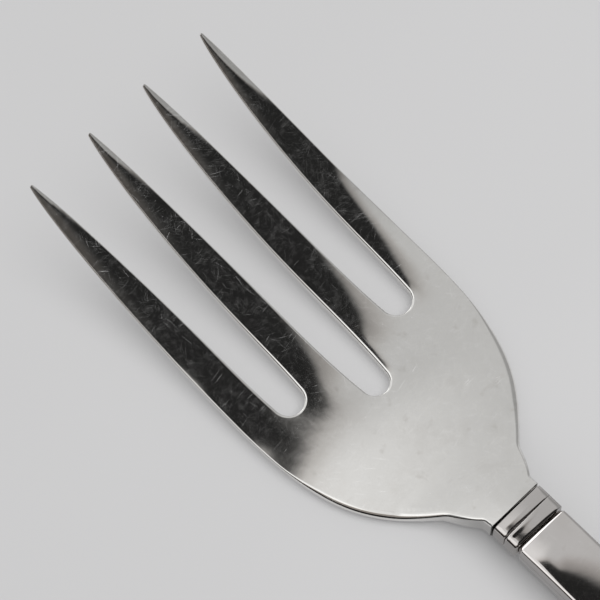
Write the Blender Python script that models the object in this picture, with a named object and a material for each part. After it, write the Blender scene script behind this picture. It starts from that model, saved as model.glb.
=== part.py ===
"""Cold meat fork with a hollow handle, as six separate pieces.

The head is one forging: a flat bowl with four tines, a neck and a tang. Two rings sit on the tang
as reeds, and the tang is cemented into a handle made of two struck shells. Lengths are in metres
and +Z is up. The fork lies on its back: the tines point along +Y and curve up, and the heel of the
bowl and the end of the handle rest on Z = 0. A distance called "back" runs from the line of the
tips towards the end of the handle, and X runs across the tines from the middle line.
"""

import math

import bmesh
import bpy
from mathutils import Vector
from mathutils.geometry import delaunay_2d_cdt, interpolate_bezier

MM = 0.001

# Whole fork
LENGTH = 222 * MM
JOINT_GAP = 0.3 * MM

# Tines and slots, seen from above
INNER_TINE_X = 5.9 * MM
INNER_TINE_HALF = 2.85 * MM
OUTER_TINE_X = 17.7 * MM
OUTER_TINE_HALF = 2.8 * MM
OUTER_TINE_SPLAY = 0.7 * MM
SPLAY_BACK = 38 * MM
TINE_TAPER = 40 * MM
TINE_FULLNESS = 0.6
TIP_BLUNT = 0.55 * MM
MIDDLE_SLOT_ROOT = 60 * MM
MIDDLE_SLOT_RADIUS = 2.35 * MM
OUTER_SLOT_ROOT = 53 * MM
OUTER_SLOT_RADIUS = 2.55 * MM
OUTER_SLOT_X = 11.85 * MM
SLOT_EASE = 7 * MM

# Shoulders, cusps and neck, seen from above: each pair is X and distance back
SHOULDER = Vector((20.75, 48.6)) * MM
SHOULDER_FADE = 24 * MM
SHOULDER_PULL = 20 * MM
CUSP = Vector((8.25, 81.1)) * MM
CUSP_SHOULDER_HANDLE = Vector((16.5, 73.4)) * MM
CUSP_LOBE_HANDLE = Vector((7.6, 82.6)) * MM
NECK_CORNER = Vector((5.15, 86.1)) * MM
CORNER_LOBE_HANDLE = Vector((6.1, 85.2)) * MM
NECK_HALF = 5.1 * MM
NECK_END = 88.05 * MM

# Head, seen from the side
HEEL_BACK = 70 * MM
HEEL_THICKNESS = 1.9 * MM
TIP_THICKNESS = 1.0 * MM
TINE_ROOT_BACK = 50 * MM
EDGE_THINNING = 0.4 * MM
TIP_RISE = 12.1 * MM
TINE_CURVE = 2.5
NECK_START = 75 * MM
NECK_LEVEL = 89.5 * MM
NECK_RISE = 4.8 * MM
NECK_DEPTH = 4.8 * MM
NECK_THICKENS = 75 * MM
NECK_CROWN = 0.05 * MM
CROWN_STARTS = 78 * MM
LAND_SINK = 0.1 * MM
EDGE = 0.35 * MM
THIN_TINE_EDGE = 0.45

# Neck rings
RING_LENGTHS = (2.0 * MM, 2.2 * MM)

# Handle
HANDLE_MOUTH = 93.15 * MM
HANDLE_HALF = 4.8 * MM
HANDLE_END_HALF = 9.6 * MM
FLARE_START = 104 * MM
FLARE_END = 202 * MM
HANDLE_TOP_END = 5.1 * MM
HANDLE_SWEEP = 70 * MM
HANDLE_LANDS = 180 * MM
HANDLE_SINK = 0.25 * MM
END_ROUND = 9 * MM
END_TURN = math.radians(80)
END_FULLNESS = 0.6
HANDLE_CROWN = 0.015
HANDLE_FILLET = 0.55 * MM
SHELL_WALL = 0.6 * MM

# Tang and cement core
TANG_HALF = 2.5 * MM
TANG_TIP_HALF = 1.4 * MM
TANG_THICKNESS = 1.5 * MM
TANG_FILLET = 0.25 * MM
TANG_START = 87 * MM
TANG_END = 138 * MM
CORE_END = 216 * MM

# Fineness of the facets
TINE_STEPS = 9
ROOT_STEPS = 8
SHOULDER_STEPS = 13
LOBE_STEPS = 4
GRID = 3 * MM
GRID_MARGIN = 0.9 * MM
DOME_STEPS = 6
FILLET_STEPS = 2
HANDLE_STEPS = 14
END_STEPS = 5
TANG_STEPS = 6
SHARP = math.radians(35)
MESH_SCALE = 1 / MM
MESH_MERGE = 1e-5

SILVER = (0.80, 0.79, 0.77)
CEMENT = (0.42, 0.37, 0.30)


def ease(value):
    """Smooth step from 0 to 1, flat at both ends."""
    value = min(1.0, max(0.0, value))
    return value * value * (3 - 2 * value)


def place(x, back, z):
    """Point in space for a distance back from the tips."""
    return Vector((x, LENGTH / 2 - back, z))


# Head seen from above

def tine_half(back, full):
    """Half the width of a tine, narrowing to its tip."""
    reach = min(1.0, (back + TIP_BLUNT) / TINE_TAPER)
    return full * math.sin(math.pi / 2 * reach) ** TINE_FULLNESS


def outer_tine_x(back):
    """Middle line of an outer tine, which leans outwards near its tip."""
    return OUTER_TINE_X + OUTER_TINE_SPLAY * max(0.0, 1 - back / SPLAY_BACK) ** 2


def outer_tine_outside(back):
    """Outer edge of an outer tine, swelling into the shoulder."""
    edge = outer_tine_x(back) + tine_half(back, OUTER_TINE_HALF)
    swell = SHOULDER.x - OUTER_TINE_X - OUTER_TINE_HALF
    return edge + swell * ease((back - SHOULDER_FADE) / (SHOULDER.y - SHOULDER_FADE))


def outer_tine_inside(back):
    """Inner edge of an outer tine."""
    return outer_tine_x(back) - tine_half(back, OUTER_TINE_HALF)


def inner_tine_outside(back):
    """Outer edge of an inner tine."""
    return INNER_TINE_X + tine_half(back, INNER_TINE_HALF)


def inner_tine_inside(back):
    """Inner edge of an inner tine."""
    return INNER_TINE_X - tine_half(back, INNER_TINE_HALF)


def tine_backs(last):
    """Distances back along a tine's edge, closer together near the tip."""
    return [last * (step / TINE_STEPS) ** 2 for step in range(TINE_STEPS + 1)]


def slot_side(tine_edge, root_x, root_centre):
    """Side of a slot from the tip back, drawn in from the tine's edge to the round root."""
    draw = root_x - tine_edge(root_centre)
    return [Vector((tine_edge(back) + draw * math.exp((back - root_centre) / SLOT_EASE), back))
            for back in tine_backs(root_centre)]


def slot_root(centre_x, centre_back, radius):
    """Round end of a slot, from its right side to its left, without the two ends."""
    angles = [math.pi * step / ROOT_STEPS for step in range(1, ROOT_STEPS)]
    return [Vector((centre_x + radius * math.cos(angle), centre_back + radius * math.sin(angle)))
            for angle in angles]


def curve(start, start_handle, end_handle, end, steps):
    """Points of one Bezier curve, without its first point."""
    return interpolate_bezier(start, start_handle, end_handle, end, steps + 1)[1:]


def right_outline():
    """Right half of the head's outline, from the middle of the neck's end to the middle slot's root."""
    outer_centre = OUTER_SLOT_ROOT - OUTER_SLOT_RADIUS
    middle_centre = MIDDLE_SLOT_ROOT - MIDDLE_SLOT_RADIUS
    shoulder_handle = SHOULDER + Vector((0, SHOULDER_PULL))
    points = [Vector((NECK_HALF * step / 2, NECK_END)) for step in range(3)]
    points.append(NECK_CORNER)
    points += curve(NECK_CORNER, CORNER_LOBE_HANDLE, CUSP_LOBE_HANDLE, CUSP, LOBE_STEPS)
    points += curve(CUSP, CUSP_SHOULDER_HANDLE, shoulder_handle, SHOULDER, SHOULDER_STEPS)
    points += [Vector((outer_tine_outside(back), back)) for back in reversed(tine_backs(SHOULDER.y)[:-1])]
    points += slot_side(outer_tine_inside, OUTER_SLOT_X + OUTER_SLOT_RADIUS, outer_centre)
    points += slot_root(OUTER_SLOT_X, outer_centre, OUTER_SLOT_RADIUS)
    points += reversed(slot_side(inner_tine_outside, OUTER_SLOT_X - OUTER_SLOT_RADIUS, outer_centre))
    points += slot_side(inner_tine_inside, MIDDLE_SLOT_RADIUS, middle_centre)
    points += slot_root(0, middle_centre, MIDDLE_SLOT_RADIUS)[:ROOT_STEPS // 2]
    return points


def head_outline():
    """Whole outline of the head as X and distance back, anticlockwise seen from above."""
    right = right_outline()
    left = [Vector((-point.x, point.y)) for point in reversed(right[1:-1])]
    return right + left


def drawn_in(outline):
    """Outline moved in by the width of the rim's bevel, less where a tine is thin."""
    inner = []
    for index, point in enumerate(outline):
        along = outline[(index + 1) % len(outline)] - outline[index - 1]
        inward = Vector((along.y, -along.x)).normalized()
        inner.append(point + inward * min(EDGE, THIN_TINE_EDGE * tine_half(point.y, INNER_TINE_HALF)))
    return inner


def inside(point, outline, margin):
    """True for a point that is inside an outline and at least a margin away from it."""
    odd = False
    for index, end in enumerate(outline):
        start = outline[index - 1]
        side = end - start
        nearest = start + side * min(1.0, max(0.0, (point - start).dot(side) / side.length_squared))
        if (point - nearest).length < margin:
            return False
        if (start.y > point.y) != (end.y > point.y):
            odd ^= point.x < start.x + side.x * (point.y - start.y) / side.y
    return odd


def grid_inside(outline):
    """Points of a square grid that lie well inside the head."""
    columns = round(SHOULDER.x / GRID)
    rows = round(NECK_END / GRID)
    across = range(-columns, columns + 1)
    grid = [Vector((column * GRID, row * GRID)) for row in range(rows) for column in across]
    return [point for point in grid if inside(point, outline, GRID_MARGIN)]


# Head seen from the side

def spine(back):
    """Height of the head's upper face along its middle line."""
    if back < HEEL_BACK:
        return HEEL_THICKNESS + TIP_RISE * (1 - back / HEEL_BACK) ** TINE_CURVE
    return HEEL_THICKNESS + NECK_RISE * ease((back - NECK_START) / (NECK_LEVEL - NECK_START))


def thickness(back):
    """Thickness of the head along its middle line: thin tips, a thicker bowl and a stout neck."""
    plate = TIP_THICKNESS + (HEEL_THICKNESS - TIP_THICKNESS) * ease(back / TINE_ROOT_BACK)
    stout = ease((back - NECK_THICKENS) / (NECK_END - NECK_THICKENS))
    return plate + (NECK_DEPTH - HEEL_THICKNESS) * stout


def neck_fall(x, back):
    """How far the crowned neck falls away beside its middle line."""
    return NECK_CROWN * ease((back - CROWN_STARTS) / (NECK_END - CROWN_STARTS)) * (x / NECK_HALF) ** 2


def head_top(x, back):
    """Height of the upper face."""
    return spine(back) - neck_fall(x, back)


def head_bottom(x, back):
    """Height of the lower face, thinner towards the sides and flat where the heel rests."""
    thinner = EDGE_THINNING * (x / SHOULDER.x) ** 2
    return max(0.0, spine(back) - thickness(back) + thinner + neck_fall(x, back) - LAND_SINK)


# Stem: the neck rings and the handle seen from the side and from above

def stem_top(back):
    """Height of the stem's upper face along its middle line."""
    if back <= HANDLE_MOUTH:
        return spine(back)
    start = spine(HANDLE_MOUTH)
    return start - (start - HANDLE_TOP_END) * ease((back - HANDLE_MOUTH) / HANDLE_SWEEP)


def stem_bottom(back):
    """Height of the stem's lower face along its middle line, before it is cut flat to rest."""
    if back <= HANDLE_MOUTH:
        return spine(back) - NECK_DEPTH
    start = spine(HANDLE_MOUTH) - NECK_DEPTH
    return start - (start + HANDLE_SINK) * ease((back - HANDLE_MOUTH) / (HANDLE_LANDS - HANDLE_MOUTH))


def stem_seam(back):
    """Height of the seam between the handle's shells, which the tang follows too."""
    return (stem_top(back) + stem_bottom(back)) / 2


def stem_half(back):
    """Half the width of the stem."""
    if back <= HANDLE_MOUTH:
        return NECK_HALF
    flare = ease((back - FLARE_START) / (FLARE_END - FLARE_START))
    return HANDLE_HALF + (HANDLE_END_HALF - HANDLE_HALF) * flare


def half_section(half, seam, face, crown, fillet):
    """X and Z of half a section, from the right seam over its crowned face to the left seam."""
    side = math.copysign(1, face - seam)
    flat = half - fillet
    right = [(half, seam)]
    for step in range(FILLET_STEPS + 1):
        angle = math.pi / 2 * step / FILLET_STEPS
        fall = crown + fillet * (1 - math.sin(angle))
        right.append((flat + fillet * math.cos(angle), face - side * fall))
    xs = [flat * (1 - 2 * step / DOME_STEPS) for step in range(1, DOME_STEPS)]
    left = [(-x, z) for x, z in reversed(right)]
    return right + [(x, face - side * crown * (x / flat) ** 2) for x in xs] + left


def whole_section(half, seam, top, bottom, crown, fillet):
    """X and Z all round a section, from the right seam over the top."""
    upper = half_section(half, seam, top, crown, fillet)
    lower = half_section(half, seam, bottom, crown, fillet)
    return upper + lower[-2:0:-1]


def stem_loop(back, inset):
    """Points all round a neck ring, drawn in by an inset."""
    section = whole_section(NECK_HALF - inset, stem_seam(back), stem_top(back) - inset,
                            stem_bottom(back) + inset, NECK_CROWN, HANDLE_FILLET)
    return [place(x, back, z) for x, z in section]


def tang_loop(back, clearance):
    """Points all round the tang, or round the hole that clears it."""
    taper = max(0.0, (back - HANDLE_MOUTH) / (TANG_END - HANDLE_MOUTH))
    half = TANG_HALF + (TANG_TIP_HALF - TANG_HALF) * taper + clearance
    deep = TANG_THICKNESS / 2 + clearance
    seam = stem_seam(back)
    section = whole_section(half, seam, seam + deep, seam - deep, 0, TANG_FILLET)
    return [place(x, back, z) for x, z in section]


def tang_backs(end):
    """Distances back along the tang inside the handle."""
    return [HANDLE_MOUTH + (end - HANDLE_MOUTH) * step / TANG_STEPS for step in range(TANG_STEPS + 1)]


def handle_stations():
    """Distances back along the handle, each with how much of its full section is left there."""
    end_start = LENGTH - END_ROUND
    stations = [(HANDLE_MOUTH, 1.0), (HANDLE_MOUTH + EDGE, 1.0)]
    for step in range(1, HANDLE_STEPS + 1):
        stations.append((HANDLE_MOUTH + (end_start - HANDLE_MOUTH) * step / HANDLE_STEPS, 1.0))
    for step in range(1, END_STEPS + 1):
        turn = END_TURN * step / END_STEPS
        stations.append((end_start + END_ROUND * math.sin(turn) / math.sin(END_TURN), math.cos(turn)))
    return stations


def handle_sizes(back, left, inset):
    """Half width, seam, top, bottom, crown and fillet of the handle, drawn in by an inset."""
    half = stem_half(back) * left
    full = left ** END_FULLNESS
    seam = stem_seam(back)
    top = seam + (stem_top(back) - seam) * full - inset
    bottom = seam + (stem_bottom(back) - seam) * full + inset
    return half - inset, seam, top, bottom, HANDLE_CROWN * half, HANDLE_FILLET * full


# Meshes and objects

def add_loop(mesh, points):
    """Adds a row of points to a mesh."""
    return [mesh.verts.new(point) for point in points]


def bridge(mesh, first, second, closed):
    """Joins two rows of points with four-sided faces."""
    count = len(first) if closed else len(first) - 1
    for index in range(count):
        after = (index + 1) % len(first)
        mesh.faces.new((first[index], first[after], second[after], second[index]))


def loft(loops, cyclic):
    """Closed skin over a row of loops, capped at its ends or joined back to its first loop."""
    mesh = bmesh.new()
    rows = [add_loop(mesh, loop) for loop in loops]
    for first, second in zip(rows, rows[1:]):
        bridge(mesh, first, second, True)
    if cyclic:
        bridge(mesh, rows[-1], rows[0], True)
    else:
        mesh.faces.new(rows[0])
        mesh.faces.new(rows[-1])
    return mesh


def material(name, colour, metallic, roughness):
    """Plain material for one sub-part."""
    made = bpy.data.materials.new(name)
    made.use_nodes = True
    shader = made.node_tree.nodes["Principled BSDF"]
    shader.inputs["Base Color"].default_value = (*colour, 1)
    shader.inputs["Metallic"].default_value = metallic
    shader.inputs["Roughness"].default_value = roughness
    made.diffuse_color = (*colour, 1)
    return made


def silver(name):
    """Polished silver for one sub-part."""
    return material(name, SILVER, 1.0, 0.15)


def add_piece(name, mesh, finish, parent):
    """Makes an object of a finished mesh, with its faces outwards and its round sides smooth."""
    bmesh.ops.recalc_face_normals(mesh, faces=mesh.faces)
    data = bpy.data.meshes.new(name)
    mesh.to_mesh(data)
    mesh.free()
    data.shade_smooth()
    data.set_sharp_from_angle(angle=SHARP)
    if finish:
        data.materials.append(finish)
    piece = bpy.data.objects.new(name, data)
    piece.parent = parent
    bpy.context.scene.collection.objects.link(piece)
    return piece


# The six pieces

def head_mesh():
    """Bowl, tines and neck: two facing sheets inside the outline, joined by a bevelled rim."""
    outline = head_outline()
    inner = drawn_in(outline)
    flat = inner + grid_inside(outline)
    rim = range(len(inner))
    scaled = [point * MESH_SCALE for point in flat]
    found, _, triangles, sources, _, _ = delaunay_2d_cdt(scaled, [], [list(rim)], 1, MESH_MERGE)
    mesh = bmesh.new()
    upper = add_loop(mesh, [place(point.x, point.y, head_top(point.x, point.y)) for point in flat])
    lower = add_loop(mesh, [place(point.x, point.y, head_bottom(point.x, point.y)) for point in flat])
    for triangle in triangles:
        corners = [sources[corner][0] for corner in triangle]
        mesh.faces.new([upper[corner] for corner in corners])
        mesh.faces.new([lower[corner] for corner in reversed(corners)])
    drops = [(point - edge).length for point, edge in zip(inner, outline)]
    high = add_loop(mesh, [place(point.x, point.y, head_top(point.x, point.y) - drop)
                           for point, drop in zip(outline, drops)])
    low = add_loop(mesh, [place(point.x, point.y, head_bottom(point.x, point.y) + drop)
                          for point, drop in zip(outline, drops)])
    bridge(mesh, [upper[index] for index in rim], high, True)
    bridge(mesh, high, low, True)
    bridge(mesh, low, [lower[index] for index in rim], True)
    return mesh


def add_head(parent):
    """Fork head with its tang, which is joined on as one body."""
    tang_loops = [tang_loop(TANG_START, 0)] + [tang_loop(back, 0) for back in tang_backs(TANG_END)]
    tang = add_piece("tang_shape", loft(tang_loops, False), None, parent)
    tang.hide_render = True
    tang.display_type = 'WIRE'
    head = add_piece("fork_head", head_mesh(), silver("head_silver"), parent)
    union = head.modifiers.new("tang", 'BOOLEAN')
    union.operation = 'UNION'
    union.object = tang


def add_rings(parent):
    """Two collars on the tang, the reeds of the neck."""
    start = NECK_END + JOINT_GAP
    for name, length in zip(("neck_ring_front", "neck_ring_rear"), RING_LENGTHS):
        end = start + length
        loops = [stem_loop(start, EDGE), stem_loop(start + EDGE, 0), stem_loop(end - EDGE, 0),
                 stem_loop(end, EDGE), tang_loop(end, JOINT_GAP), tang_loop(start, JOINT_GAP)]
        add_piece(name, loft(loops, True), silver(name + "_silver"), parent)
        start = end + JOINT_GAP


def shell_row(back, left, inset, side):
    """Points across one shell at a station, from its right seam to its left seam."""
    half, seam, top, bottom, crown, fillet = handle_sizes(back, left, inset)
    seam += side * JOINT_GAP / 2
    face = top if side > 0 else bottom
    return [place(x, back, max(z, inset)) for x, z in half_section(half, seam, face, crown, fillet)]


def add_shell(name, side, parent):
    """One struck half of the handle: an outer and an inner skin joined round the seam and the mouth."""
    stations = handle_stations()
    shrink = (LENGTH - HANDLE_MOUTH - SHELL_WALL) / (LENGTH - HANDLE_MOUTH)
    mesh = bmesh.new()
    outer = []
    inner = []
    for index, (back, left) in enumerate(stations):
        outer.append(add_loop(mesh, shell_row(back, left, EDGE if index == 0 else 0, side)))
        row = shell_row(back, left, SHELL_WALL, side)
        moved = HANDLE_MOUTH + (back - HANDLE_MOUTH) * shrink
        inner.append(add_loop(mesh, [place(point.x, moved, point.z) for point in row]))
    for skin in (outer, inner):
        for first, second in zip(skin, skin[1:]):
            bridge(mesh, first, second, False)
        mesh.faces.new(skin[-1])
    for end in (0, -1):
        bridge(mesh, [row[end] for row in outer], [row[end] for row in inner], False)
    bridge(mesh, outer[0], inner[0], False)
    mesh.faces.new((outer[-1][0], outer[-1][-1], inner[-1][-1], inner[-1][0]))
    add_piece(name, mesh, silver(name + "_silver"), parent)


def add_filler(parent):
    """Cement core of the handle, with the pocket that the tang sits in."""
    clearance = SHELL_WALL + JOINT_GAP
    pocket = [tang_loop(back, JOINT_GAP) for back in reversed(tang_backs(TANG_END + JOINT_GAP))]
    outside = []
    for back, left in handle_stations():
        if back > CORE_END:
            break
        section = whole_section(*handle_sizes(back, left, clearance))
        outside.append([place(x, back, max(z, clearance)) for x, z in section])
    cement = material("cement", CEMENT, 0.0, 0.9)
    add_piece("handle_filler", loft(pocket + outside, False), cement, parent)


def main():
    """Clears the scene and builds the fork."""
    for old in list(bpy.data.objects):
        bpy.data.objects.remove(old, do_unlink=True)
    fork = bpy.data.objects.new("cold_meat_fork", None)
    bpy.context.scene.collection.objects.link(fork)
    add_head(fork)
    add_rings(fork)
    add_shell("handle_front_shell", 1, fork)
    add_shell("handle_back_shell", -1, fork)
    add_filler(fork)


main()
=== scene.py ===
"""Looks of the cold meat fork, laid out as an add-on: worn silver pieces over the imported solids.

The head, the two neck rings and the two handle shells are modelled again with round rims and fine
meshes, from the same formulas as the solids. The cement core keeps its solid and gets a finish. A
pale table, a soft studio and the camera make the stage. Lengths are in metres, +Y points along the
tines and +Z is up. A distance called "back" runs from the line of the tips towards the handle's end.
"""

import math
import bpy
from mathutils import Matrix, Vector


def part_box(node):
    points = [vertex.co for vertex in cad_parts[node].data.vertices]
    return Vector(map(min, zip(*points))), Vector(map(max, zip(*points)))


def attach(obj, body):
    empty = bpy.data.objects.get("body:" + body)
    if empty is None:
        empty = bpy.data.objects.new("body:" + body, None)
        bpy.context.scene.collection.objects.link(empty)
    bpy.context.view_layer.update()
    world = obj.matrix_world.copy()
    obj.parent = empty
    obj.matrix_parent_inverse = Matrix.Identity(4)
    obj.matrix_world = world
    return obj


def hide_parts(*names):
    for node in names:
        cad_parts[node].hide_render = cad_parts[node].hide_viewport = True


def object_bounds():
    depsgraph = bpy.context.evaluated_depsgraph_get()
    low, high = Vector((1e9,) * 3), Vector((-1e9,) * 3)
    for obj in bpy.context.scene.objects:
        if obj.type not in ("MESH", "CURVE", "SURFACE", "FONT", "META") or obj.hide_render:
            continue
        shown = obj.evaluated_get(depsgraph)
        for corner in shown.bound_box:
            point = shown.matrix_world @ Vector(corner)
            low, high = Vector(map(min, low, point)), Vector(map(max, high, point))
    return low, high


bl_info = {
    "name": "Cold meat fork",
    "version": (1, 0, 0),
    "blender": (4, 5, 0),
    "location": "3D View > Sidebar > Fork",
    "description": "Builds the worn silver pieces of a serving fork and the table that it lies on",
    "category": "Object",
}

import bmesh
import bpy
from bpy.props import FloatProperty, FloatVectorProperty, IntProperty, PointerProperty
from mathutils import Vector
from mathutils.geometry import delaunay_2d_cdt, interpolate_bezier
from mathutils.kdtree import KDTree

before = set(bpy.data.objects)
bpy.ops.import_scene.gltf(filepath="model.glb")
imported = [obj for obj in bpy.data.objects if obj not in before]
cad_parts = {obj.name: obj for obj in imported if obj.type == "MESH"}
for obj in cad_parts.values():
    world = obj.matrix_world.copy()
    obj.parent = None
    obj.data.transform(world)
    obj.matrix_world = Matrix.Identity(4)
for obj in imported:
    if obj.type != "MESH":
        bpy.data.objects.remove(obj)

MM = 0.001
CAD_LOW, CAD_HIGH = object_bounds()
LENGTH = CAD_HIGH.y - CAD_LOW.y
RINGS = ("neck_ring_front", "neck_ring_rear")
SHELLS = {"handle_front_shell": 1, "handle_back_shell": -1}


def back_of(y):
    """Distance back from the line of the tips for a place along the fork."""
    return CAD_HIGH.y - y


RING_SPANS = [(back_of(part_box(node)[1].y), back_of(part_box(node)[0].y)) for node in RINGS]
HANDLE_MOUTH = back_of(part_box("handle_front_shell")[1].y)
JOINT_GAP = RING_SPANS[1][0] - RING_SPANS[0][1]
NECK_END = RING_SPANS[0][0] - JOINT_GAP


# Settings

def length(name, description, millimetres):
    """A length that a user may change."""
    return FloatProperty(name=name, description=description, default=millimetres * MM, unit='LENGTH',
                         precision=5)


def lengths(name, description, millimetres):
    """A row of lengths that a user may change."""
    return FloatVectorProperty(name=name, description=description, size=len(millimetres), unit='LENGTH',
                               default=tuple(value * MM for value in millimetres), precision=5)


def ratio(name, description, default):
    """A plain number that a user may change."""
    return FloatProperty(name=name, description=description, default=default)


def factor(name, description, default):
    """A share from 0 to 1 that a user may change."""
    return FloatProperty(name=name, description=description, default=default, min=0, max=1, subtype='FACTOR')


def angle(name, description, degrees):
    """An angle that a user may change."""
    return FloatProperty(name=name, description=description, default=math.radians(degrees), subtype='ANGLE')


def colour(name, description, default):
    """A colour that a user may change."""
    return FloatVectorProperty(name=name, description=description, default=default, size=3, subtype='COLOR')


class ForkHeadSizes(bpy.types.PropertyGroup):
    """Sizes of the bowl, the tines and the neck. A point on the plan is given across and back."""
    inner_tine_x: length("Inner tine place", "Middle line of an inner tine", 5.9)
    inner_tine_half: length("Inner tine half", "Half width of an inner tine at its root", 2.85)
    outer_tine_x: length("Outer tine place", "Middle line of an outer tine", 17.7)
    outer_tine_half: length("Outer tine half", "Half width of an outer tine at its root", 2.8)
    splay: length("Splay", "How far an outer tine leans outwards at its tip", 0.7)
    splay_back: length("Splay start", "Distance back where the outer tines start to lean", 38)
    taper: length("Taper", "Length over which a tine narrows to its tip", 40)
    fullness: ratio("Fullness", "Power that shapes the taper of a tine", 0.6)
    tip_blunt: length("Tip bluntness", "Length that is missing from the sharp point of a tine", 0.55)
    tip_nose: length("Tip nose", "Length of the round nose of a tine", 0.35)
    middle_slot_root: length("Middle slot root", "Distance back to the middle slot's root", 60)
    middle_slot_radius: length("Middle slot radius", "Radius of the middle slot's root", 2.35)
    outer_slot_root: length("Outer slot root", "Distance back to the outer slots' roots", 53)
    outer_slot_radius: length("Outer slot radius", "Radius of the outer slots' roots", 2.55)
    outer_slot_x: length("Outer slot place", "Middle line of an outer slot at its root", 11.85)
    slot_ease: length("Slot ease", "Length over which a slot draws in to its root", 7)
    shoulder: lengths("Shoulder", "Widest point of the bowl", (20.75, 48.6))
    shoulder_fade: length("Shoulder fade", "Distance back where the shoulder starts to swell", 24)
    shoulder_pull: length("Shoulder pull", "How far the shoulder runs straight before it turns in", 20)
    cusp: lengths("Cusp", "Notch between the bowl and the neck", (8.25, 81.1))
    cusp_bowl_pull: lengths("Cusp, bowl side", "Curve handle on the bowl's side", (16.5, 73.4))
    cusp_neck_pull: lengths("Cusp, neck side", "Curve handle on the neck's side", (7.6, 82.6))
    corner: lengths("Neck corner", "Corner where the neck turns straight", (5.15, 86.1))
    corner_pull: lengths("Corner pull", "Curve handle at the corner", (6.1, 85.2))
    neck_half: length("Neck half", "Half width of the neck and its rings", 5.1)
    heel_back: length("Heel", "Distance back to the heel, where the tines start to rise", 70)
    heel_thickness: length("Heel thickness", "Thickness of the bowl", 1.9)
    tip_thickness: length("Tip thickness", "Thickness of a tine at its tip", 1.0)
    tine_root: length("Tine root", "Distance back where the tines reach the bowl's thickness", 50)
    edge_thinning: length("Edge thinning", "How much thinner the bowl is at its sides", 0.4)
    tip_rise: length("Tip rise", "Height of the tips over the bowl", 12.1)
    tine_curve: ratio("Tine curve", "Power that shapes the rise of the tines", 2.5)
    neck_start: length("Neck start", "Distance back where the neck starts to rise", 75)
    neck_level: length("Neck level", "Distance back where the neck stops rising", 89.5)
    neck_rise: length("Neck rise", "Height of the handle's mouth over the bowl", 4.8)
    neck_depth: length("Neck depth", "Thickness of the neck at its end", 4.8)
    neck_thickens: length("Neck thickens", "Distance back where the neck starts to thicken", 75)
    neck_crown: length("Neck crown", "How far the neck's face falls towards its sides", 0.05)
    crown_start: length("Crown start", "Distance back where the neck's face starts to round", 78)
    land_sink: length("Land sink", "Depth of the flat that the heel rests on", 0.1)
    tine_ripple: length("Tine crown", "Depth of the soft crown across each tine", 0.42)
    ripple_start: length("Crown fade start", "Distance back where the tines' crown starts to fade", 10)
    ripple_end: length("Crown fade end", "Distance back where the tines' crown is gone", 60)
    tip_crown: length("Tip crown", "How far a tip's face falls towards its sides", 0.13)
    tip_crown_end: length("Tip crown end", "Distance back where the tips' crown is gone", 26)
    facets: lengths("Tip facets", "Length of the worn facet on each tip, from the left", (6, 9, 10.5, 14))
    facet_slope: ratio("Facet slope", "How steeply a worn facet falls to the right", 0.16)
    roll: ratio("Roll", "How steeply the outer tines fall outwards", 0.035)
    roll_x: length("Roll place", "Distance from the middle line where the roll starts", 15.5)
    roll_span: lengths("Roll span", "Distances back where the roll starts, is full and ends", (18, 32, 47))
    right_roll_end: length("Right roll end", "Distance back where the right tine's roll ends", 60)
    twist: ratio("Twist", "How steeply the left tine's root falls to the left", 0.006)
    twist_x: length("Twist place", "Distance from the middle line where the twist starts", 13)
    twist_span: lengths("Twist span", "Distances back where the twist starts, is full and ends", (40, 50, 58))
    lip: ratio("Lip", "How steeply a tine's left edge falls to its slot near the root", 0.016)
    lip_width: length("Lip width", "Width of the falling edge beside a slot", 1.3)
    lip_end: length("Lip end", "Length over which the falling edge ends at a slot's root", 3)
    rim: length("Rim", "Width of the bowl's round rim", 1.15)
    tine_rim: length("Tine rim", "Width of the round edges of the tines and slots", 0.22)
    root_rim: length("Root rim", "Width of the round edges at the roots of the slots", 0.38)
    root_rim_start: length("Root rim start", "Distance back where the slots' edges start to widen", 28)
    neck_rim: length("Neck rim", "Width of the neck's round edges", 0.65)
    end_rim: length("End rim", "Width of the round edge at the neck's end", 0.3)
    end_blend: length("End blend", "Length over which the neck's edges narrow to its end", 0.8)
    rim_start: length("Rim start", "Distance back where the outer rim starts to widen", 57)
    rim_full: length("Rim full", "Distance back where the outer rim has its full width", 70)


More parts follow.
